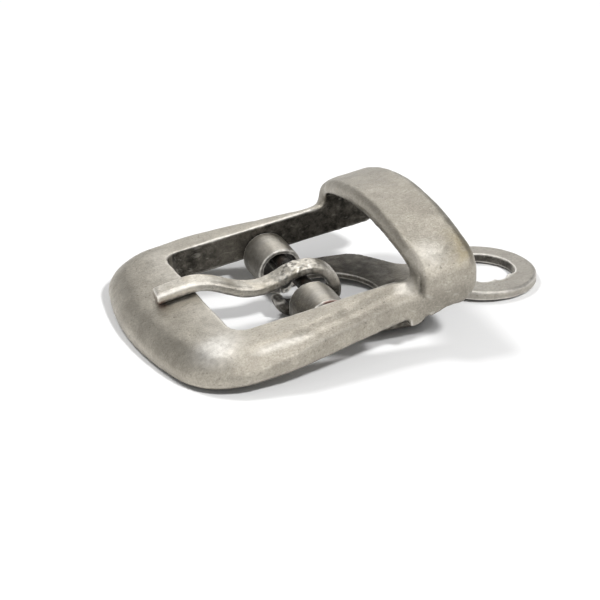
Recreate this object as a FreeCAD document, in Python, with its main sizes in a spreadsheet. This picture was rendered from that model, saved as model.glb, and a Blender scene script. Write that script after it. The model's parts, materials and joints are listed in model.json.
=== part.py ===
import FreeCAD, Part
import math
import os
import re

import Sketcher

# Strap buckle: a cast frame with a wide bow, two tapering rails and a raised keeper bridge, a steel
# bar between the rails, a looped tongue and a chape plate that both swing on the bar.
# Every piece is drawn with the axis of the bar along its own local Y axis, through its own origin.
# Local +X runs from the bow to the bridge, local +Z is up through the frame.

SIZES = {
    # cast frame; heights are measured up from its underside
    "half_opening": 13.0,
    "bow_inner_x": -14.5,
    "bow_side_x": -20.5,
    "bow_front_r": 50.0,
    "bow_half_w": 19.7,
    "bow_corner_r": 8.5,
    "widest_x": -9.5,
    "widest_blend_r": 18.0,
    "waist_x": 7.5,
    "waist_half_w": 16.4,
    "waist_blend_r": 8.0,
    "foot_x": 13.5,
    "foot_half_w": 17.1,
    "foot_blend_r": 5.0,
    "foot_corner_r": 2.4,
    "rail_height": 4.3,
    "bar_height": 1.5,
    "crown_r": 3.3,
    "underside_r": 0.5,
    "opening_corner_r": 2.4,
    # keeper bridge
    "bridge_front_x": 10.0,
    "bridge_back_x": 18.7,
    "bridge_half_w": 16.9,
    "bridge_top": 10.4,
    "bridge_top_r": 36.0,
    "bridge_under": 8.4,
    "bridge_under_r": 38.0,
    "bridge_shoulder_r": 4.2,
    "bridge_edge_r": 1.4,
    "leg_corner_r": 1.8,
    # lug under each foot of the bridge
    "lug_x": 8.1,
    "lug_length": 2.8,
    "lug_drop": 1.0,
    "lug_tip": 0.9,
    "lug_inner_y": 15.0,
    "lug_w": 1.6,
    # bar, pressed into a blind bore in each rail
    "bar_r": 1.0,
    "bar_half_length": 15.6,
    # tongue: stations of its centre line, then the loop round the bar
    "tongue_half_w": 1.45,
    "tongue_half_thick": 0.75,
    "tongue_edge": 0.35,
    "tip_x": -19.8,
    "tip_z": 3.67,
    "bend_x": -12.4,
    "bend_z": 3.2,
    "slope_x": -9.3,
    "slope_z": 1.6,
    "valley_x": -6.0,
    "valley_z": 0.75,
    "rise_x": -2.7,
    "rise_z": 1.35,
    "loop_x": 0.6,
    "loop_z": 1.95,
    "loop_r": 3.7,
    "loop_turn_r": 1.75,
    "loop_run": 4.2,
    "loop_tail_r": 1.9,
    # chape: a plate rolled into two knuckles, with a notch between them and an eye at its end
    "knuckle_r": 3.25,
    "knuckle_wall": 0.6,
    "knuckle_x": -0.2,
    "knuckle_z": -1.45,
    "plate_half_w": 11.8,
    "notch_half_w": 5.4,
    "seam_start_x": -0.3,
    "seam_end_x": 0.1,
    "tuck_sink": 0.15,
    "tuck_rise": 0.15,
    "plate_thick": 0.8,
    "plate_drop": 3.8,
    "plate_start_x": 2.15,
    "shoulder_x": 13.0,
    "plate_corner_r": 3.5,
    "neck_x": 17.6,
    "neck_half_w": 5.6,
    "neck_blend_r": 4.0,
    "swing_hole_x": 4.9,
    "swing_hole_r": 6.7,
    "eye_x": 27.0,
    "eye_r": 7.95,
    "eye_hole_r": 4.95,
    "eye_thick": 1.3,
    "eye_edge_r": 0.4,
    # how the pieces lie when the buckle rests on a table
    "axis_x": -5.285,
    "axis_y": 0.0,
    "axis_z": 4.75,
    "frame_tilt": -7.75,
    "tongue_yaw": -6.0,
    "tongue_shift": -0.4,
    "chape_tilt": 1.35,
    "chape_yaw": -2.1,
    "chape_shift": 0.8,
}

os.makedirs("parts", exist_ok=True)
doc = FreeCAD.newDocument("strap_buckle")
sheet = doc.addObject("Spreadsheet::Sheet", "sizes")
UP = FreeCAD.Vector(0, 0, 1)


def fill_sheet():
    for row, (name, value) in enumerate(SIZES.items(), 1):
        sheet.set(f"A{row}", name)
        sheet.set(f"B{row}", str(value))
        sheet.setAlias(f"B{row}", name)
    doc.recompute()


def formula(term):
    """Turns a sum of size names, such as eye_x+eye_r, into an expression on the sheet."""
    return re.sub(r"([a-z]\w*)", r"sizes.\1", term)


def amount(term):
    """Adds up a sum of size names with the values that the sheet holds."""
    pieces = re.findall(r"([+-]?)(\w+)", term)
    return sum((-1 if sign == "-" else 1) * float(sheet.get(name)) for sign, name in pieces)


def new_sketch(body, name, role, lift=None):
    sketch = body.newObject("Sketcher::SketchObject", name)
    plane = next(item for item in body.Origin.OriginFeatures if item.Role == role)
    sketch.AttachmentSupport = [(plane, "")]
    sketch.MapMode = "FlatFace"
    if lift:
        sketch.setExpression("AttachmentOffset.Base.z", formula(lift))
    return sketch


def hold_point(sketch, geometry, end, x=None, y=None):
    """Holds one point by its driven distances from the origin."""
    for kind, term in (("DistanceX", x), ("DistanceY", y)):
        if term:
            rule = Sketcher.Constraint(kind, -1, 1, geometry, end, amount(term))
            sketch.setExpression(f"Constraints[{sketch.addConstraint(rule)}]", formula(term))


def hold_radius(sketch, geometry, term):
    rule = Sketcher.Constraint("Radius", geometry, amount(term))
    sketch.setExpression(f"Constraints[{sketch.addConstraint(rule)}]", formula(term))


def join(sketch, *ends):
    sketch.addConstraint(Sketcher.Constraint("Coincident", *ends))


def line(sketch, start, end):
    points = FreeCAD.Vector(*start, 0), FreeCAD.Vector(*end, 0)
    return sketch.addGeometry(Part.LineSegment(*points))


def arc(sketch, start, end, centre, radius):
    first = math.atan2(start[1] - centre[1], start[0] - centre[0])
    last = math.atan2(end[1] - centre[1], end[0] - centre[0])
    ring = Part.Circle(FreeCAD.Vector(*centre, 0), UP, radius)
    return sketch.addGeometry(Part.ArcOfCircle(ring, first, last))


def chain(sketch, corners):
    """Draws straight lines from corner to corner, each corner held by two sums of sizes."""
    points = [(amount(x), amount(y)) for x, y in corners]
    lines = [line(sketch, *ends) for ends in zip(points, points[1:])]
    for index, (x, y) in zip(lines, corners):
        hold_point(sketch, index, 1, x, y)
    hold_point(sketch, lines[-1], 2, *corners[-1])
    for before, after in zip(lines, lines[1:]):
        join(sketch, before, 2, after, 1)
    return lines


def polygon(sketch, corners):
    lines = chain(sketch, corners)
    closing = line(sketch, *[(amount(x), amount(y)) for x, y in (corners[-1], corners[0])])
    join(sketch, lines[-1], 2, closing, 1)
    join(sketch, closing, 2, lines[0], 1)


def circle(sketch, radius, x=None, y=None):
    """Draws a circle; a coordinate that is left out keeps its centre on that axis."""
    centre = FreeCAD.Vector(amount(x) if x else 0, amount(y) if y else 0, 0)
    index = sketch.addGeometry(Part.Circle(centre, UP, amount(radius)))
    hold_radius(sketch, index, radius)
    hold_point(sketch, index, 3, x, y)
    for term, axis in ((x, -2), (y, -1)):
        if not term:
            sketch.addConstraint(Sketcher.Constraint("PointOnObject", index, 3, axis))


def pad(body, sketch, length, name, middle=False):
    feature = body.newObject("PartDesign::Pad", name)
    feature.Profile = sketch
    feature.Midplane = middle
    feature.setExpression("Length", formula(length))
    doc.recompute()


def cut_up(body, sketch, name, depth=None):
    """Cuts a sketch that lies below the piece up through it, all the way or to a depth."""
    feature = body.newObject("PartDesign::Pocket", name)
    feature.Profile = sketch
    feature.Reversed = True
    if depth:
        feature.setExpression("Length", formula(depth))
    else:
        feature.Type = "ThroughAll"
    doc.recompute()


def round_edges(body, name, radius, wanted):
    base = body.Tip
    names = [f"Edge{i}" for i, edge in enumerate(base.Shape.Edges, 1) if wanted(edge)]
    feature = body.newObject("PartDesign::Fillet", name)
    feature.Base = (base, names)
    feature.setExpression("Radius", formula(radius))
    doc.recompute()


def upright_at(x):
    def wanted(edge):
        box = edge.BoundBox
        return max(box.XLength, box.YLength) < 1e-6 and abs(box.XMin - amount(x)) < 0.05

    return wanted


def level_at(z):
    def wanted(edge):
        box = edge.BoundBox
        return box.ZLength < 1e-6 and abs(box.ZMin - amount(z)) < 1e-6

    return wanted


def lengthwise_at(y, z):
    def wanted(edge):
        box = edge.BoundBox
        flat = max(box.YLength, box.ZLength) < 1e-6
        return flat and abs(abs(box.YMin) - y) < 0.01 and abs(box.ZMin - z) < 0.01

    return wanted


def frame_outline(body):
    """The outside of bow, rails and feet: five corners on each side and a curved front."""
    sketch = new_sketch(body, "frame_outline", "XY_Plane", "-bar_height")
    side = [
        ("bow_side_x", "bow_half_w"),
        ("widest_x", "bow_half_w"),
        ("waist_x", "waist_half_w"),
        ("foot_x", "foot_half_w"),
        ("bridge_back_x", "foot_half_w"),
    ]
    lines = chain(sketch, side + [(x, "-" + y) for x, y in reversed(side)])
    x, half, radius = amount("bow_side_x"), amount("bow_half_w"), amount("bow_front_r")
    centre = (x + math.sqrt(radius**2 - half**2), 0)
    front = arc(sketch, (x, half), (x, -half), centre, radius)
    join(sketch, front, 1, lines[0], 1)
    join(sketch, front, 2, lines[-1], 2)
    hold_radius(sketch, front, "bow_front_r")
    return sketch


def bow_and_rails():
    body = doc.addObject("PartDesign::Body", "bow_and_rails")
    pad(body, frame_outline(body), "rail_height", "frame_blank")
    round_edges(body, "bow_corners", "bow_corner_r", upright_at("bow_side_x"))
    round_edges(body, "widest_blend", "widest_blend_r", upright_at("widest_x"))
    round_edges(body, "waist_blend", "waist_blend_r", upright_at("waist_x"))
    round_edges(body, "foot_blend", "foot_blend_r", upright_at("foot_x"))
    round_edges(body, "foot_corners", "foot_corner_r", upright_at("bridge_back_x"))
    round_edges(body, "crown", "crown_r", level_at("rail_height-bar_height"))
    round_edges(body, "underside", "underside_r", level_at("-bar_height"))
    sketch = new_sketch(body, "opening_outline", "XY_Plane", "-bar_height-bar_height")
    polygon(sketch, [
        ("bow_inner_x", "-half_opening"),
        ("bridge_back_x+bar_height", "-half_opening"),
        ("bridge_back_x+bar_height", "half_opening"),
        ("bow_inner_x", "half_opening"),
    ])
    cut_up(body, sketch, "opening")
    round_edges(body, "opening_corners", "opening_corner_r", upright_at("bow_inner_x"))
    return body


def arch_outline(body):
    """The bridge seen along the strap: two upright legs under a bowed band."""
    sketch = new_sketch(body, "arch_outline", "YZ_Plane", "bridge_front_x")
    outer, inner, foot = "bridge_half_w", "half_opening", "-bar_height"
    top_r, under_r = amount("bridge_top_r"), amount("bridge_under_r")
    top_centre = "bridge_top-bridge_top_r-bar_height"
    under_centre = "bridge_under-bridge_under_r-bar_height"
    top_z = amount(top_centre) + math.sqrt(top_r**2 - amount(outer) ** 2)
    under_z = amount(under_centre) + math.sqrt(under_r**2 - amount(inner) ** 2)
    ends = []
    for sign, mark in ((1, ""), (-1, "-")):
        y_out, y_in = sign * amount(outer), sign * amount(inner)
        outside = line(sketch, (y_out, top_z), (y_out, amount(foot)))
        below = line(sketch, (y_out, amount(foot)), (y_in, amount(foot)))
        inside = line(sketch, (y_in, amount(foot)), (y_in, under_z))
        join(sketch, outside, 2, below, 1)
        join(sketch, below, 2, inside, 1)
        hold_point(sketch, outside, 1, x=mark + outer)
        hold_point(sketch, outside, 2, mark + outer, foot)
        hold_point(sketch, inside, 1, mark + inner, foot)
        hold_point(sketch, inside, 2, x=mark + inner)
        ends.append((outside, inside))
    y_out, y_in = amount(outer), amount(inner)
    top = arc(sketch, (y_out, top_z), (-y_out, top_z), (0, amount(top_centre)), top_r)
    under = arc(sketch, (y_in, under_z), (-y_in, under_z), (0, amount(under_centre)), under_r)
    for curve, centre, radius, column, end in (
        (top, top_centre, "bridge_top_r", 0, 1),
        (under, under_centre, "bridge_under_r", 1, 2),
    ):
        sketch.addConstraint(Sketcher.Constraint("PointOnObject", curve, 3, -2))
        hold_point(sketch, curve, 3, y=centre)
        hold_radius(sketch, curve, radius)
        join(sketch, curve, 1, ends[0][column], end)
        join(sketch, curve, 2, ends[1][column], end)
    return sketch, top_z, under_z


def bridge_arch():
    body = doc.addObject("PartDesign::Body", "bridge_arch")
    sketch, top_z, under_z = arch_outline(body)
    pad(body, sketch, "bridge_back_x-bridge_front_x", "arch_blank")
    round_edges(body, "shoulders", "bridge_shoulder_r", lengthwise_at(amount("bridge_half_w"), top_z))
    round_edges(body, "leg_corners", "leg_corner_r", lengthwise_at(amount("half_opening"), under_z))
    round_edges(body, "band_edges", "bridge_edge_r", on_band_rim)
    return body


def on_band_rim(edge):
    """Picks the rims of the band, over the top and down the outside of each leg."""
    box = edge.BoundBox
    middle = edge.valueAt((edge.FirstParameter + edge.LastParameter) / 2)
    reach = math.hypot(middle.y, middle.z - amount("bridge_top-bridge_top_r-bar_height"))
    outside = abs(middle.y) > amount("half_opening+lug_w") or reach > amount("bridge_top_r") - 1
    return box.XLength < 1e-6 and middle.z > amount("-bar_height") + 0.1 and outside


def lug(name, lift):
    """A tooth under one foot of the bridge, square in front and fading out behind."""
    body = doc.addObject("PartDesign::Body", name)
    sketch = new_sketch(body, name + "_outline", "XZ_Plane", lift)
    polygon(sketch, [
        ("lug_x", "-bar_height-lug_drop"),
        ("lug_x+lug_tip", "-bar_height-lug_drop"),
        ("lug_x+lug_length", "-bar_height"),
        ("lug_x+lug_length", "lug_drop-bar_height"),
        ("lug_x", "lug_drop-bar_height"),
    ])
    pad(body, sketch, "lug_w", name + "_tooth")
    return body


def bar(name):
    """A round bar on the hinge axis that reaches into both rails."""
    piece = doc.addObject("Part::Cylinder", name)
    piece.setExpression("Radius", formula("bar_r"))
    piece.setExpression("Height", formula("bar_half_length+bar_half_length"))
    piece.Placement.Rotation = FreeCAD.Rotation(FreeCAD.Vector(1, 0, 0), 90)
    piece.setExpression("Placement.Base.y", formula("bar_half_length"))
    return piece


def buckle_frame():
    whole = doc.addObject("Part::MultiFuse", "cast_blank")
    whole.Shapes = [
        bow_and_rails(),
        bridge_arch(),
        lug("near_lug", "lug_inner_y"),
        lug("far_lug", "-lug_inner_y-lug_w"),
    ]
    bored = doc.addObject("Part::Cut", "buckle_frame")
    bored.Base = whole
    bored.Tool = bar("bar_bores")
    return bored


def tongue_path():
    """The centre line: a sagging prong, then a loop that passes over, behind and under the bar."""
    names = ("tip", "bend", "slope", "valley", "rise", "loop")
    points = [FreeCAD.Vector(amount(n + "_x"), 0, amount(n + "_z")) for n in names]
    prong = Part.BSplineCurve()
    ahead = FreeCAD.Vector(1, 0, 0)
    prong.interpolate(Points=points, InitialTangent=ahead, FinalTangent=ahead)
    edges = [prong.toShape()]
    x, z = amount("loop_x"), amount("loop_z-loop_r")
    edges.append(quarter_turn(x, z, amount("loop_r"), 90))
    x += amount("loop_r-loop_turn_r")
    edges.append(quarter_turn(x, z, amount("loop_turn_r"), 0))
    low = z - amount("loop_turn_r")
    run_end = x - amount("loop_run")
    edges.append(Part.makeLine(FreeCAD.Vector(x, 0, low), FreeCAD.Vector(run_end, 0, low)))
    edges.append(quarter_turn(run_end, low + amount("loop_tail_r"), amount("loop_tail_r"), -90))
    path = doc.addObject("Part::Feature", "tongue_path")
    path.Shape = Part.Wire(edges)
    return path


def quarter_turn(x, z, radius, start):
    """A clockwise quarter circle in the XZ plane, seen with X to the right and Z up."""
    angles = [math.radians(start - turn) for turn in (0, 45, 90)]
    points = [
        FreeCAD.Vector(x + radius * math.cos(a), 0, z + radius * math.sin(a)) for a in angles
    ]
    return Part.Arc(*points).toShape()


def tongue():
    """A bar of oblong section with broken corners, swept along the path."""
    section = doc.addObject("Sketcher::SketchObject", "tongue_section")
    wide, thick, edge = "tongue_half_w", "tongue_half_thick", "tongue_edge"
    polygon(section, [
        (f"{wide}-{edge}", thick),
        (wide, f"{thick}-{edge}"),
        (wide, f"{edge}-{thick}"),
        (f"{wide}-{edge}", f"-{thick}"),
        (f"{edge}-{wide}", f"-{thick}"),
        (f"-{wide}", f"{edge}-{thick}"),
        (f"-{wide}", f"{thick}-{edge}"),
        (f"{edge}-{wide}", thick),
    ])
    section.Placement.Rotation = FreeCAD.Rotation(UP, 90) * FreeCAD.Rotation(FreeCAD.Vector(1, 0, 0), 90)
    section.setExpression("Placement.Base.x", formula("tip_x"))
    section.setExpression("Placement.Base.z", formula("tip_z"))
    sweep = doc.addObject("Part::Sweep", "tongue")
    sweep.Sections = [section]
    path = tongue_path()
    sweep.Spine = (path, [f"Edge{i + 1}" for i in range(len(path.Shape.Edges))])
    sweep.Solid = True
    sweep.Frenet = False
    sweep.Transition = "Transformed"
    return sweep


def chape_plate():
    """A plate rolled up at one end; the end of the roll tucks in and stands up below the bar."""
    body = doc.addObject("PartDesign::Body", "chape_plate")
    roll = new_sketch(body, "roll_outline", "XZ_Plane")
    circle(roll, "knuckle_r", "knuckle_x", "knuckle_z")
    circle(roll, "knuckle_r-knuckle_wall", "knuckle_x", "knuckle_z")
    pad(body, roll, "plate_half_w+plate_half_w", "roll", middle=True)
    tuck = new_sketch(body, "tuck_outline", "XZ_Plane")
    polygon(tuck, [
        ("seam_start_x-knuckle_wall", "knuckle_z-knuckle_r+knuckle_wall-tuck_sink"),
        ("seam_start_x", "knuckle_z-knuckle_r+knuckle_wall-tuck_sink"),
        ("seam_start_x", "knuckle_z+tuck_rise"),
        ("seam_start_x-knuckle_wall", "knuckle_z+tuck_rise"),
    ])
    pad(body, tuck, "plate_half_w+plate_half_w", "tuck", middle=True)
    sheet_metal = new_sketch(body, "plate_outline", "XY_Plane", "-plate_drop")
    upper = [
        ("plate_start_x", "plate_half_w"),
        ("shoulder_x", "plate_half_w"),
        ("neck_x", "neck_half_w"),
        ("eye_x", "neck_half_w"),
    ]
    polygon(sheet_metal, upper + [(x, "-" + y) for x, y in reversed(upper)])
    pad(body, sheet_metal, "plate_thick", "plate")
    eye = new_sketch(body, "eye_outline", "XY_Plane", "-plate_drop")
    circle(eye, "eye_r", x="eye_x")
    pad(body, eye, "eye_thick", "eye")
    round_edges(body, "plate_corners", "plate_corner_r", upright_at("shoulder_x"))
    round_edges(body, "neck_blend", "neck_blend_r", upright_at("neck_x"))
    round_edges(body, "eye_rim", "eye_edge_r", level_at("eye_thick-plate_drop"))
    for name, radius, x in (
        ("swing_hole", "swing_hole_r", "swing_hole_x"),
        ("eye_hole", "eye_hole_r", "eye_x"),
    ):
        hole = new_sketch(body, name + "_outline", "XY_Plane", "-plate_drop-plate_thick")
        circle(hole, radius, x=x)
        cut_up(body, hole, name)
    notch = new_sketch(body, "notch_outline", "XY_Plane", "-plate_drop-knuckle_r")
    polygon(notch, [
        ("-knuckle_r-knuckle_wall", "-notch_half_w"),
        ("swing_hole_x", "-notch_half_w"),
        ("swing_hole_x", "notch_half_w"),
        ("-knuckle_r-knuckle_wall", "notch_half_w"),
    ])
    cut_up(body, notch, "notch")
    seam = new_sketch(body, "seam_outline", "XY_Plane", "-plate_drop-knuckle_r")
    polygon(seam, [
        ("seam_start_x", "-plate_half_w-knuckle_wall"),
        ("seam_end_x", "-plate_half_w-knuckle_wall"),
        ("seam_end_x", "plate_half_w+knuckle_wall"),
        ("seam_start_x", "plate_half_w+knuckle_wall"),
    ])
    cut_up(body, seam, "seam", depth="plate_drop")
    return body


def lay(piece, shift=None, yaw=None, tilt=None):
    """Puts a piece on the bar at rest; tilt turns it about the bar, yaw turns it in plan."""
    turn = FreeCAD.Rotation(FreeCAD.Vector(0, 1, 0), amount(tilt) if tilt else 0)
    if yaw:
        turn = turn * FreeCAD.Rotation(UP, amount(yaw))
    x, y, z = amount("axis_x"), amount("axis_y"), amount("axis_z")
    if shift:
        y += amount(shift)
    piece.Placement = FreeCAD.Placement(FreeCAD.Vector(x, y, z), turn)


fill_sheet()
frame, pin, prong, chape = buckle_frame(), bar("hinge_bar"), tongue(), chape_plate()
doc.recompute()
lay(frame, tilt="frame_tilt")
lay(prong, "tongue_shift", "tongue_yaw", "frame_tilt")
lay(chape, "chape_shift", "chape_yaw", "chape_tilt")
pin.setExpression("Placement.Base.x", formula("axis_x"))
pin.setExpression("Placement.Base.z", formula("axis_z"))
doc.recompute()
for item in doc.Objects:
    if {"Invalid", "Error"} & set(item.State):
        raise SystemExit(f"{item.Name} did not build: {item.State}")
for piece in (frame, pin, prong, chape):
    if piece.Shape.isNull() or not piece.Shape.isValid() or len(piece.Shape.Solids) != 1:
        raise SystemExit(f"{piece.Name} is not one sound solid")
    piece.Shape.exportStep(f"parts/{piece.Label}.step")
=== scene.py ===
import json
import math

import bmesh
import bpy
import numpy as np
from mathutils import Matrix, Vector, kdtree, noise


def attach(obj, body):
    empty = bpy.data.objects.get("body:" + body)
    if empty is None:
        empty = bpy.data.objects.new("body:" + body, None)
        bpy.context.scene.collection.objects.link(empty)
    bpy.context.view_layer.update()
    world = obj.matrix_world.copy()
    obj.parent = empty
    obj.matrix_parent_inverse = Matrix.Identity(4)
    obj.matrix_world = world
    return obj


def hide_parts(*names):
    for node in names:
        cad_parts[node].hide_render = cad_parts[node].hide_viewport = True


# Cast strap buckle in tumbled antique silver, lying on a white table.
# Every skin is worked on in millimetres in its piece's own axes: the bar lies along Y through the
# origin, +X runs from the bow to the bridge, +Z is up through the frame, and -Y is the right-hand side.

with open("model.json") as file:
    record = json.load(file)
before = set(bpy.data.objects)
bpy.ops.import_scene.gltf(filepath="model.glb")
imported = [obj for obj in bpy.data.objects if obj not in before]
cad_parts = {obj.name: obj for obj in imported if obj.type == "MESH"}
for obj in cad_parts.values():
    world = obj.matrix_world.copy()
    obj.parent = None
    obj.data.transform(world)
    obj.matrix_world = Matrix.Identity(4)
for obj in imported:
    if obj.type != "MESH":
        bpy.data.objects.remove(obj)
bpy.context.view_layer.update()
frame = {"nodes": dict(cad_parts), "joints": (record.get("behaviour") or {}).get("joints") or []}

MM = 0.001
AXIS = Vector(frame["joints"][0]["pos_m"])
FRAME_TILT = math.radians(-7.75)
TONGUE_YAW, TONGUE_SHIFT = math.radians(-6.0), -0.4
CHAPE_TILT, CHAPE_YAW, CHAPE_SHIFT = math.radians(1.35), math.radians(-2.1), 0.8

# the frame's opening: the bow's inner edge, half the width, and the level of the rails' underside
BOW_INNER, HALF_OPENING, UNDERSIDE = -14.5, 13.0, -1.5
# the plate: middle and radius of the eye and of the hole that the tongue swings through
EYE_X, EYE_HOLE, SWING_X, SWING_HOLE = 27.0, 4.95, 4.9, 6.7
# the middle of the knuckles' roll, and just over the radius of their inside
ROLL_X, ROLL_Z, ROLL_INSIDE = -0.2, -1.45, 3.12
# from the middle of the tongue to the painted shadow line beside it
SHADOW_LINE_OFFSET = 1.6


def seat(tilt=0.0, yaw=0.0, shift=0.0):
    """Own axes in millimetres to the row frame in metres, as the CAD piece lies at rest."""
    turn = Matrix.Rotation(tilt, 4, "Y") @ Matrix.Rotation(yaw, 4, "Z")
    move = Matrix.Translation(AXIS + Vector((0, shift * MM, 0)))
    return move @ turn @ Matrix.Scale(MM, 4)


def ramp(value, start, end):
    """0 up to the start and 1 from the end on, with an eased climb between."""
    t = np.clip((value - start) / (end - start), 0, 1)
    return t * t * (3 - 2 * t)


def bump(value, middle, reach):
    """1 at the middle, falling to 0 on both sides."""
    return np.exp(-(((value - middle) / reach) ** 2))


def spot(x, y, middle, reach):
    """A round bump seen from above."""
    return bump(np.hypot(x - middle[0], y - middle[1]), 0, reach)


def layered(*films):
    """The darkest of several dark layers and painted shades at each vertex."""
    return np.maximum.reduce(films)


class Skin:
    """An even, dense skin over a CAD solid, to be smoothed, dented and painted by vertex."""

    def __init__(self, node, name, voxel, place):
        self.node, self.name, self.place = node, name, place
        mesh = frame["nodes"][node].data.copy()
        mesh.transform(place.inverted())
        bm = bmesh.new()
        bm.from_mesh(mesh)
        bmesh.ops.remove_doubles(bm, verts=bm.verts, dist=0.002)
        bm.to_mesh(mesh)
        bm.free()
        carrier = bpy.data.objects.new(name + "_carrier", mesh)
        bpy.context.scene.collection.objects.link(carrier)
        skin = carrier.modifiers.new("skin", "REMESH")
        skin.mode, skin.voxel_size = "VOXEL", voxel
        graph = bpy.context.evaluated_depsgraph_get()
        self.mesh = bpy.data.meshes.new_from_object(carrier.evaluated_get(graph))
        bpy.data.objects.remove(carrier)
        count = len(self.mesh.vertices)
        self.at = np.empty(count * 3)
        self.mesh.vertices.foreach_get("co", self.at)
        self.at = self.at.reshape(-1, 3)
        ends = np.empty(len(self.mesh.edges) * 2, int)
        self.mesh.edges.foreach_get("vertices", ends)
        self.a, self.b = ends.reshape(-1, 2).T
        self.degree = np.bincount(ends, minlength=count).astype(float)

    def average(self, values):
        """Each vertex's mean over its neighbours, for one number or one point a vertex."""
        count = len(self.degree)
        columns = values.reshape(count, -1).T
        sums = [
            np.bincount(self.a, c[self.b], count) + np.bincount(self.b, c[self.a], count)
            for c in columns
        ]
        return (np.array(sums) / self.degree).T.reshape(values.shape)

    def relax(self, rounds, weight=1.0):
        """Moves each vertex towards its neighbours' mean, by one weight or one a vertex."""
        if np.ndim(weight):
            weight = weight[:, None]
        for _ in range(rounds):
            self.at += 0.6 * weight * (self.average(self.at) - self.at)

    def polish(self, rounds):
        """Smooths away voxel steps without shrinking."""
        for _ in range(rounds):
            self.at += 0.5 * (self.average(self.at) - self.at)
            self.at -= 0.53 * (self.average(self.at) - self.at)

    def facing(self):
        """The outward normal at each vertex."""
        self.mesh.vertices.foreach_set("co", self.at.ravel())
        self.mesh.update()
        out = np.empty(self.at.size)
        self.mesh.vertex_normals.foreach_get("vector", out)
        return out.reshape(-1, 3)

    def swell(self, height):
        self.at += self.facing() * height[:, None]

    def grain(self, size, seed=0.0):
        """Smooth noise between about -1 and 1 with lumps of the given size."""
        offset = Vector((seed, seed * 0.7, -seed))
        return np.array([noise.noise(Vector(p) / size + offset) for p in self.at]) * 1.6

    def hollow(self, rounds):
        """How far the surface lies below its smoothed self, and that smoothed self.

        The depth is above 0 in creases and below 0 on edges.
        """
        kept, out = self.at, self.facing()
        self.at = kept.copy()
        self.relax(rounds)
        smoothed, self.at = self.at, kept
        return ((smoothed - kept) * out).sum(1), smoothed

    def paint(self, name, values):
        """Keeps one number from 0 to 1 a vertex, for the material to read."""
        layer = self.mesh.attributes.new(name, "FLOAT", "POINT")
        layer.data.foreach_set("value", np.clip(values, 0, 1).astype(np.float32))

    def finish(self, body, material):
        """Puts the skin in place of its CAD node, riding on a body."""
        self.facing()
        self.mesh.transform(self.place)
        self.mesh.polygons.foreach_set("use_smooth", [True] * len(self.mesh.polygons))
        self.mesh.materials.clear()
        self.mesh.materials.append(material)
        self.mesh.name = self.name
        piece = bpy.data.objects.new(self.name, self.mesh)
        bpy.context.scene.collection.objects.link(piece)
        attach(piece, body)
        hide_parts(self.node)
        return piece


def shader(name):
    """A new material, its node tree and its shader."""
    material = bpy.data.materials.new(name)
    material.use_nodes = True
    tree = material.node_tree
    return material, tree, tree.nodes["Principled BSDF"]


class Wires:
    """Short ways to add and link shader nodes."""

    def __init__(self, tree):
        self.tree = tree
        self.where = self.node("ShaderNodeTexCoord").outputs["Object"]

    def node(self, kind, **settings):
        made = self.tree.nodes.new(kind)
        for key, value in settings.items():
            setattr(made, key, value)
        return made

    def plug(self, socket, source):
        if isinstance(source, bpy.types.NodeSocket):
            self.tree.links.new(source, socket)
        else:
            socket.default_value = source

    def layer(self, name):
        return self.node("ShaderNodeAttribute", attribute_name=name).outputs["Fac"]

    def noise(self, size, detail=3.0, rough=0.5, stretch=None, offset=0.0):
        """Noise with features of about the given size in millimetres."""
        where = self.where
        if stretch or offset:
            mapping = self.node("ShaderNodeMapping")
            self.plug(mapping.inputs["Vector"], where)
            mapping.inputs["Scale"].default_value = stretch or (1, 1, 1)
            mapping.inputs["Location"].default_value = (offset, offset, offset)
            where = mapping.outputs["Vector"]
        made = self.node("ShaderNodeTexNoise")
        self.plug(made.inputs["Vector"], where)
        made.inputs["Scale"].default_value = 1 / (size * MM)
        made.inputs["Detail"].default_value = detail
        made.inputs["Roughness"].default_value = rough
        return made.outputs["Fac"]

    def spread(self, source, low, high, start=0.0, end=1.0):
        """Stretches the source's low to high over start to end, and holds it there."""
        made = self.node("ShaderNodeMapRange", clamp=True)
        self.plug(made.inputs["Value"], source)
        for key, value in (("From Min", low), ("From Max", high), ("To Min", start), ("To Max", end)):
            made.inputs[key].default_value = value
        return made.outputs["Result"]

    def math(self, operation, one, two):
        made = self.node("ShaderNodeMath", operation=operation, use_clamp=True)
        self.plug(made.inputs[0], one)
        self.plug(made.inputs[1], two)
        return made.outputs[0]

    def mix(self, factor, one, two):
        made = self.node("ShaderNodeMix", data_type="RGBA")
        self.plug(made.inputs["Factor"], factor)
        for key, source in (("A", one), ("B", two)):
            socket = next(s for s in made.inputs if s.name == key and s.type == "RGBA")
            self.plug(socket, (*source, 1.0) if isinstance(source, tuple) else source)
        return next(s for s in made.outputs if s.type == "RGBA")


# the colours: dark patina and painted shade, yellow tarnish,
# rubbed metal and painted highlights, then scratches and rust
DARK_FILM_AND_SHADE, TARNISH, BRIGHT = (0.020, 0.018, 0.015), (0.30, 0.25, 0.15), (0.90, 0.87, 0.81)
SCRATCH, RUST = (0.70, 0.67, 0.60), (0.32, 0.075, 0.03)


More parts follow.
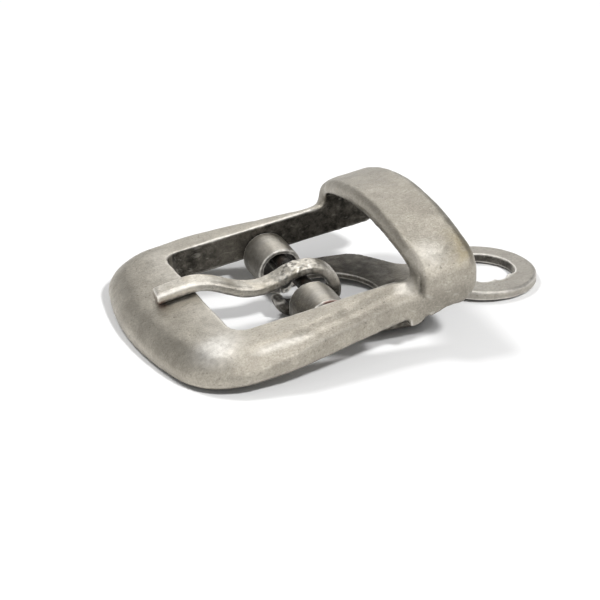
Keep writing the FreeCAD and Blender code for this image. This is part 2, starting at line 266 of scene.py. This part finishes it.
def old_silver(name, light, dull, rough=(0.31, 0.46)):
    """Tumbled antique silver: cloudy grey, patina in recesses, rubbed bright on edges.

    Its dark layer also carries painted shade, and its rubbed layer painted highlights.
    """
    material, tree, out = shader(name)
    w = Wires(tree)
    cloud = w.spread(w.noise(3.2, 6, 0.7), 0.36, 0.64)
    fine = w.spread(w.noise(0.26, 5, 0.75, offset=0.013), 0.3, 0.7)
    scratch = w.spread(w.noise(0.5, 2, 0.5, stretch=(0.35, 3.2, 1.0)), 0.60, 0.72)
    pits = w.spread(w.noise(0.36, 2, 0.5, offset=0.031), 0.64, 0.74)
    colour = w.mix(cloud, dull, light)
    dusk = tuple(0.62 * c for c in dull)
    colour = w.mix(w.math("MULTIPLY", fine, 0.8), colour, dusk)
    colour = w.mix(w.math("MULTIPLY", w.layer("tint"), cloud), colour, TARNISH)
    # the dark layer holds patina and painted shade
    film_and_shade = w.layer("oxide_and_shade")
    patch = w.spread(w.noise(1.4, 6, 0.75, offset=0.05), 0.30, 0.60, 0.62, 1.0)
    film_and_shade = w.math("MULTIPLY", film_and_shade, patch)
    film_and_shade = w.math("MAXIMUM", film_and_shade, w.math("MULTIPLY", pits, 0.40))
    colour = w.mix(film_and_shade, colour, DARK_FILM_AND_SHADE)
    mottle = w.spread(w.noise(0.8, 3, 0.6), 0.3, 0.6, 0.5, 1.0)
    # the rubbed layer holds worn edges and painted highlights
    colour = w.mix(w.math("MULTIPLY", w.layer("wear_and_highlight"), mottle), colour, BRIGHT)
    colour = w.mix(w.math("MULTIPLY", scratch, 0.22), colour, SCRATCH)
    colour = w.mix(w.layer("rust"), colour, RUST)
    w.plug(out.inputs["Base Color"], colour)
    out.inputs["Metallic"].default_value = 1.0
    gloss = w.spread(w.noise(0.9, 4, 0.6, offset=0.02), 0.3, 0.7, *rough)
    w.plug(out.inputs["Roughness"], w.math("ADD", gloss, w.math("MULTIPLY", film_and_shade, 0.25)))
    height = w.math("ADD", w.math("MULTIPLY", fine, 0.5), w.math("MULTIPLY", cloud, 0.4))
    height = w.math("SUBTRACT", height, w.math("MULTIPLY", pits, 0.5))
    relief = w.node("ShaderNodeBump")
    relief.inputs["Strength"].default_value = 0.7
    relief.inputs["Distance"].default_value = 0.05 * MM
    w.plug(relief.inputs["Height"], height)
    w.plug(out.inputs["Normal"], relief.outputs["Normal"])
    return material


def across_band(skin):
    """How far across the band each vertex lies: 0 at the opening, 1 at the outer rim."""
    x, y, z = skin.at.T
    inward = np.hypot(np.maximum(BOW_INNER - x, 0), np.maximum(np.abs(y) - HALF_OPENING, 0))
    rim = np.flatnonzero((z > UNDERSIDE + 0.5) & (z < UNDERSIDE + 1.1) & (inward > 2.6))
    tree = kdtree.KDTree(len(rim))
    for index in rim:
        tree.insert(Vector((x[index], y[index], 0)), int(index))
    tree.balance()
    outward = np.array([tree.find(Vector((p[0], p[1], 0)))[2] for p in skin.at])
    return inward / (inward + outward + 1e-6)


def shape_frame(skin, share):
    """Works the frame's skin and returns where its feet and the creases of its legs are."""
    # the bow is domed across its width, the rails hardly
    x, y, z = skin.at.T
    dome = 0.1 + 0.9 * ramp(-x, 2.0, 17.0)
    top = ramp(z, UNDERSIDE + 0.3, 3.2) * ramp(-x, -9.0, -6.0)
    skin.at[:, 2] -= top * dome * 1.15 * share ** 1.5
    # each rail slopes outward to a soft ridge low on its side, most of all the right-hand one
    out = skin.facing()
    rail = ramp(x, -15.0, -6.0) * ramp(-x, -9.5, -7.5) * ramp(z, -0.5, 0.5)
    strength = np.where(y < 0, 1.0, 0.3)
    slope = 0.26 * bump(out[:, 2], 0.50, 0.17) - 0.30 * bump(out[:, 2], 0.87, 0.11)
    skin.swell(slope * rail * strength * ramp(np.abs(y), 13.4, 14.2))
    # the rails sweep up into the legs, with a web in the corner
    sweep = ramp(x, 7.6, 9.6) * ramp(-x, -13.2, -11.6) * ramp(z, 1.2, 2.4) * ramp(-z, -7.5, -6.0)
    skin.relax(70, sweep * ramp(np.abs(y), 12.6, 13.4))
    skin.relax(3, 0.6)
    # the feet stand a little higher than the rails and round off behind
    behind = np.maximum(x - 15.3, 0) ** 2
    outer = ramp(np.abs(y), 13.4, 15.5)
    skin.at[:, 2] += (0.5 * ramp(x, 11.2, 13.5) * outer + 0.17 * behind) * ramp(-z, -2.6, 1.5)
    skin.at[:, 1] -= np.sign(y) * 0.10 * behind * outer * ramp(-z, -5.0, 1.5)
    # uneven casting, rougher round the feet, with a faint parting line
    feet = ramp(x, 7.0, 11.0) * ramp(-z, -3.0, 0.0)
    lumps = 0.05 * skin.grain(4.5) + 0.022 * skin.grain(1.6, 5.0)
    lumps += (0.007 + 0.03 * feet) * skin.grain(0.7, 9.0)
    lumps -= 0.05 * bump(z, UNDERSIDE + 0.85, 0.13) * ramp(np.abs(y), 14.5, 15.5)
    # a crease where the web runs out on the front corner of each leg
    lean = 0.15 * (z - 1.0)
    level = ramp(z, 1.0, 2.0) * ramp(-z, -4.6, -3.6)
    crease = level * spot(x - lean, np.abs(y) + lean, (10.0, 16.3), 0.4)
    skin.swell(lumps - 0.15 * crease)
    return feet, crease


def paint_frame(skin, share, feet, crease):
    side, out = np.abs(skin.at[:, 1]), skin.facing()
    hollow, smoothed = skin.hollow(50)
    edge, _ = skin.hollow(10)
    x, y, z = smoothed.T
    # darkened: patina in the hollows and creases, on the right foot, the fronts of the legs and faintly
    # on the bridge;
    # painted shade on the undersides and under the bridge, and patina with painted shade on the
    # opening's walls
    upright = ramp(-np.abs(out[:, 2]), -0.75, -0.45)
    rails = ramp(-np.abs(side - HALF_OPENING), -0.5, -0.25) * ramp(np.abs(out[:, 1]), 0.4, 0.8)
    bow = ramp(-np.abs(x - BOW_INNER), -0.5, -0.25) * ramp(-side, -13.4, -13.1)
    wall = np.maximum(rails, bow) * upright * (0.96 - 0.25 * bump(x, -5.0, 3.0) * (y > 0))
    below = ramp(-out[:, 2], 0.35, 0.7) * np.where(z > 4, 0.97, 0.62)
    under_bridge = 0.9 * ramp(-out[:, 2], -0.1, 0.35) * (z > 5.5)
    right_foot = 0.30 * feet * ramp(-y, 13, 15)
    leg_front = ramp(-out[:, 0], 0.3, 0.8) * ramp(x, 9.3, 10.2) * ramp(-z, -6.5, -3.0)
    # painted contact shadow along the right-hand side of the tongue, where it rests on the bow, with a
    # little rust near the tip
    tongue_edge = TONGUE_SHIFT + x * math.tan(TONGUE_YAW) - SHADOW_LINE_OFFSET
    rest = bump(y, tongue_edge, 0.5) * ramp(-x, 15.0, 16.0) * ramp(x, -20.2, -19.2)
    rest *= ramp(out[:, 2], 0.5, 0.8)
    skin.paint("oxide_and_shade", layered(
        wall, below, under_bridge, 0.75 * ramp(hollow, 0.05, 0.32), right_foot,
        0.55 * leg_front, 0.8 * crease, 0.13 * ramp(z, 4.5, 7.0), 0.9 * rest))
    # rubbed bright on edges, but hardly on the bow's inner edge and its left-hand corner
    rubbed = ramp(-edge, 0.03, 0.12) * 0.8 + ramp(-hollow, 0.12, 0.5) * 0.25
    rubbed *= 1 - 0.8 * spot(x, y, (BOW_INNER, HALF_OPENING), 2.5)
    rubbed *= 1 - 0.6 * ramp(-x, 13.8, 14.3) * ramp(-share, -0.3, -0.05)
    inside = ramp(-share, -0.5, -0.1) * ramp(-x, 12.0, 15.0)
    # painted highlights on the bow's right-hand corner, in a streak along the right-hand rail,
    # on the rise into its leg and on the bridge's shoulder
    corner = spot(x, y, (-17.9, -14.4), math.sqrt(5.0)) * ramp(z, 0.5, 1.5)
    streak = bump(y, -17.75, 0.5) * ramp(x, -15.0, -12.0) * ramp(-x, 4.5, 8.5) * ramp(z, 1.0, 1.8)
    rise = spot(x, y, (8.6, -14.6), 1.2) * ramp(z, 1.0, 2.0)
    shoulder = spot(x, y, (12.9, -14.0), 1.8) * ramp(z, 4.0, 5.0)
    wear_and_highlight = rubbed + 0.2 * inside + 1.4 * corner + 0.5 * streak + 0.45 * rise + 0.45 * shoulder
    skin.paint("wear_and_highlight", wear_and_highlight * ramp(out[:, 2], -0.4, 0.0))
    skin.paint("tint", bump(x, 17.5, 2.2) * bump(y, -14.5, 2.5) * ramp(z, 2.0, 5.0))
    skin.paint("rust", 0.12 * rest * ramp(-x, 18.5, 19.2))


def cast_frame():
    skin = Skin("buckle_frame", "cast_frame_skin", 0.21, seat(FRAME_TILT))
    skin.polish(4)
    share = across_band(skin)
    feet, crease = shape_frame(skin, share)
    paint_frame(skin, share, feet, crease)
    material = old_silver("cast_silver_with_painted_light", (0.57, 0.528, 0.449), (0.41, 0.376, 0.3175))
    return skin.finish("frame", material)


def hinge_pin():
    skin = Skin("hinge_bar", "hinge_pin_skin", 0.13, seat())
    skin.polish(3)
    skin.swell(0.015 * skin.grain(0.8, 3.0))
    skin.paint("oxide_and_shade", 0.75 + 0.2 * skin.grain(1.5, 8.0))
    skin.paint("wear_and_highlight", np.zeros(len(skin.at)))
    skin.paint("tint", np.zeros(len(skin.at)))
    skin.paint("rust", 0.05 * ramp(skin.grain(1.2, 4.0), 0.1, 0.6))
    material = old_silver("dark_bar_finish", (0.13, 0.12, 0.105), (0.07, 0.065, 0.058))
    return skin.finish("frame", material)


def tongue():
    place = seat(FRAME_TILT, TONGUE_YAW, TONGUE_SHIFT)
    skin = Skin("tongue", "tongue_skin", 0.12, place)
    skin.polish(4)
    skin.relax(10)
    skin.swell(np.full(len(skin.at), 0.05))
    x, y, z = skin.at.T
    # the tip is bent down after the domed bow
    skin.at[:, 2] -= 0.035 * np.maximum(BOW_INNER - x, 0) ** 1.5
    # hammered and brittle over the crest, smoother towards the tip
    crest = bump(x, -1.0, 3.6) * ramp(z, -0.5, 1.0)
    lumps = 0.05 * skin.grain(2.4, 1.0) + (0.02 + 0.03 * crest) * skin.grain(0.75, 6.0)
    lumps += 0.02 * crest * skin.grain(0.33, 2.0)
    skin.swell(lumps)

    out = skin.facing()
    hollow, smoothed = skin.hollow(40)
    edge, _ = skin.hollow(8)
    x, y, z = smoothed.T
    # painted shade on the undersides, the tail painted dark, patina in the hollows and dark flecks over
    # the crest
    skin.paint("oxide_and_shade", layered(
        0.8 * ramp(-out[:, 2], -0.05, 0.5), 0.6 * ramp(hollow, 0.02, 0.2),
        0.75 * crest * ramp(skin.grain(0.5, 7.0), 0.0, 0.6), 0.95 * ramp(-z, 0.6, 1.6)))
    # painted highlight on the tip's right-hand side
    tip = ramp(-x, 11.0, 15.0) * ramp(-out[:, 1], 0.2, 0.7)
    flecks = crest * ramp(skin.grain(0.42, 12.0), 0.25, 0.6)
    skin.paint("wear_and_highlight", 0.7 * ramp(-edge, 0.01, 0.05) + 0.65 * tip + 0.6 * flecks)
    skin.paint("tint", 0.5 * ramp(skin.grain(2.0, 3.0), 0.0, 0.8))
    skin.paint("rust", 0.35 * ramp(-x, 18.6, 19.4) * ramp(-out[:, 2], -0.1, 0.5))
    light, dull = (0.88, 0.83, 0.74), (0.60, 0.56, 0.485)
    material = old_silver("tongue_silver_with_painted_light", light, dull, rough=(0.30, 0.46))
    return skin.finish("tongue", material)


def chape():
    skin = Skin("chape_plate", "chape_skin", 0.15, seat(CHAPE_TILT, CHAPE_YAW, CHAPE_SHIFT))
    skin.polish(4)
    skin.relax(2, 0.6)
    x, y, z = skin.at.T
    round_eye = np.hypot(x - EYE_X, y)
    # a ragged burr on the right-hand side of the eye hole
    ragged = 0.5 + 0.5 * ramp(skin.grain(0.7, 4.0), -0.3, 0.5)
    burr = bump(round_eye, EYE_HOLE, 0.4) * ramp(-y, 2.6, 4.0) * ragged
    skin.at[:, 1] += burr * ramp(z, -3.7, -2.5)
    skin.swell(0.03 * skin.grain(4.0, 2.0) + 0.012 * skin.grain(1.2, 7.0))

    out = skin.facing()
    hollow, smoothed = skin.hollow(40)
    edge, _ = skin.hollow(8)
    x, y, z = smoothed.T
    level = np.abs(out[:, 2])
    plate = ramp(-x, -21.0, -15.0)
    roll = ramp(-x, -2.6, -1.2)
    # painted shade over the plate, inside the roll, on the undersides and on the roll's back;
    # the sheared edges and the eye's left-hand wall painted dark, and patina in the hollows
    inside = (np.hypot(x - ROLL_X, z - ROLL_Z) < ROLL_INSIDE) & (x < 3.2)
    plate_shade = np.where(inside, 0.97, 0.72 * plate * (1 - roll))
    sheared = ramp(-level, -0.7, -0.4) * ramp(x, 1.0, 3.0) * ramp(-x, -20.0, -17.0)
    eye_wall = ramp(-level, -0.5, -0.25) * ramp(x, 3.0, 4.0) * ramp(y, -2.0, 1.0)
    eye_wall *= ramp(-round_eye, -7.0, -6.0)
    roll_back_shade = roll * ramp(-out[:, 0], 0.3, 0.75) * ramp(-y, 0.0, 2.0)
    skin.paint("oxide_and_shade", layered(
        plate_shade, 0.6 * ramp(-out[:, 2], 0.2, 0.8), 0.7 * ramp(hollow, 0.06, 0.2), 0.9 * eye_wall,
        0.75 * roll * ramp(-out[:, 0], 0.5, 0.95), 0.6 * roll_back_shade, 0.8 * sheared))
    # rubbed on the rims of the roll, the eye and the swing hole; painted light over the roll except its
    # shaded back
    swing_rim = ramp(-np.hypot(x - SWING_X, y), -SWING_HOLE - 0.7, -SWING_HOLE - 0.4)
    rims = np.maximum.reduce([roll, ramp(x, 17.0, 20.0), swing_rim])
    skin.paint("wear_and_highlight", 0.9 * ramp(-edge, 0.015, 0.06) * rims + 0.22 * roll * (1 - roll_back_shade))
    skin.paint("tint", 0.4 * plate)
    rim = ramp(-y, 11.42, 11.6) * ramp(x, -1.5, -0.8) * ramp(z, -1.0, 0.0)
    skin.paint("rust", 0.8 * roll * rim)
    material = old_silver("chape_silver_with_painted_light", (0.52, 0.488, 0.432), (0.40, 0.372, 0.325))
    return skin.finish("chape", material)


def camera():
    data = bpy.data.cameras.new("camera")
    data.lens, data.sensor_width = 133.2, 36.0
    data.clip_start, data.clip_end = 0.01, 10.0
    eye = bpy.data.objects.new("camera", data)
    eye.location = AXIS + Vector((-108.012, -246.413, 124.068)) * MM
    eye.rotation_euler = (math.radians(64.72), 0.0, math.radians(-23.66))
    bpy.context.scene.collection.objects.link(eye)
    bpy.context.scene.camera = eye


def table_top():
    mesh = bpy.data.meshes.new("table_top")
    bm = bmesh.new()
    bmesh.ops.create_grid(bm, x_segments=4, y_segments=4, size=3.0)
    bm.to_mesh(mesh)
    bm.free()
    top = bpy.data.objects.new("table_top", mesh)
    material, _, out = shader("white_table")
    out.inputs["Base Color"].default_value = (0.90, 0.90, 0.90, 1)
    out.inputs["Roughness"].default_value = 0.9
    out.inputs["Specular IOR Level"].default_value = 0.0
    mesh.materials.append(material)
    bpy.context.scene.collection.objects.link(top)
    return top


def softbox(name, direction, distance, size, watts, only):
    """A square lamp that looks at the bar from a direction and lights only the given objects."""
    data = bpy.data.lights.new(name, "AREA")
    data.size, data.energy = size, watts
    lamp = bpy.data.objects.new(name, data)
    toward = Vector(direction).normalized()
    lamp.location = AXIS + toward * distance
    lamp.rotation_mode = "QUATERNION"
    lamp.rotation_quaternion = toward.to_track_quat("Z", "Y")
    lit = bpy.data.collections.new(name + "_lights")
    for thing in only:
        lit.objects.link(thing)
    lamp.light_linking.receiver_collection = lit
    bpy.context.scene.collection.objects.link(lamp)


def studio(table, metal):
    world = bpy.data.worlds.new("studio")
    bpy.context.scene.world = world
    world.use_nodes = True
    tree = world.node_tree
    w = Wires(tree)
    direction = w.node("ShaderNodeTexCoord").outputs["Generated"]
    split = w.node("ShaderNodeSeparateXYZ")
    w.plug(split.inputs[0], direction)
    height = w.spread(split.outputs["Z"], 0.15, 0.75, 1.0, 0.42)
    behind = w.spread(split.outputs["Y"], -1.0, 1.0, 0.68, 1.0)
    shade = w.math("MULTIPLY", height, behind)
    sky = tree.nodes["Background"]
    w.plug(sky.inputs["Color"], w.mix(shade, (0, 0, 0), (1, 1, 1)))
    sky.inputs["Strength"].default_value = 0.74
    # name, direction, distance, size, watts
    softbox("key", (0.06, 0.30, 0.95), 0.55, 0.14, 0.62, only=metal)
    softbox("spot", (0.08, -0.28, 0.96), 0.55, 0.12, 0.30, only=metal)
    softbox("overhead", (0.1, -0.1, 1.0), 0.6, 0.50, 0.25, only=metal)
    softbox("fill", (0.15, -0.75, 0.6), 0.6, 0.50, 1.4, only=metal)
    softbox("backdrop", (0.3, 0.8, 0.52), 0.6, 0.28, 0.40, only=metal)
    softbox("side", (-0.8, -0.35, 0.6), 0.6, 0.60, 0.90, only=metal)
    softbox("table_front", (0.35, -0.68, 1.0), 0.6, 0.08, 2.5, only=[table])
    softbox("table_glow", (-0.30, 0.61, 1.0), 0.8, 0.20, 2.8, only=[table])
    view = bpy.context.scene.view_settings
    view.view_transform, view.look = "Standard", "None"


camera()
studio(table_top(), [cast_frame(), hinge_pin(), tongue(), chape()])
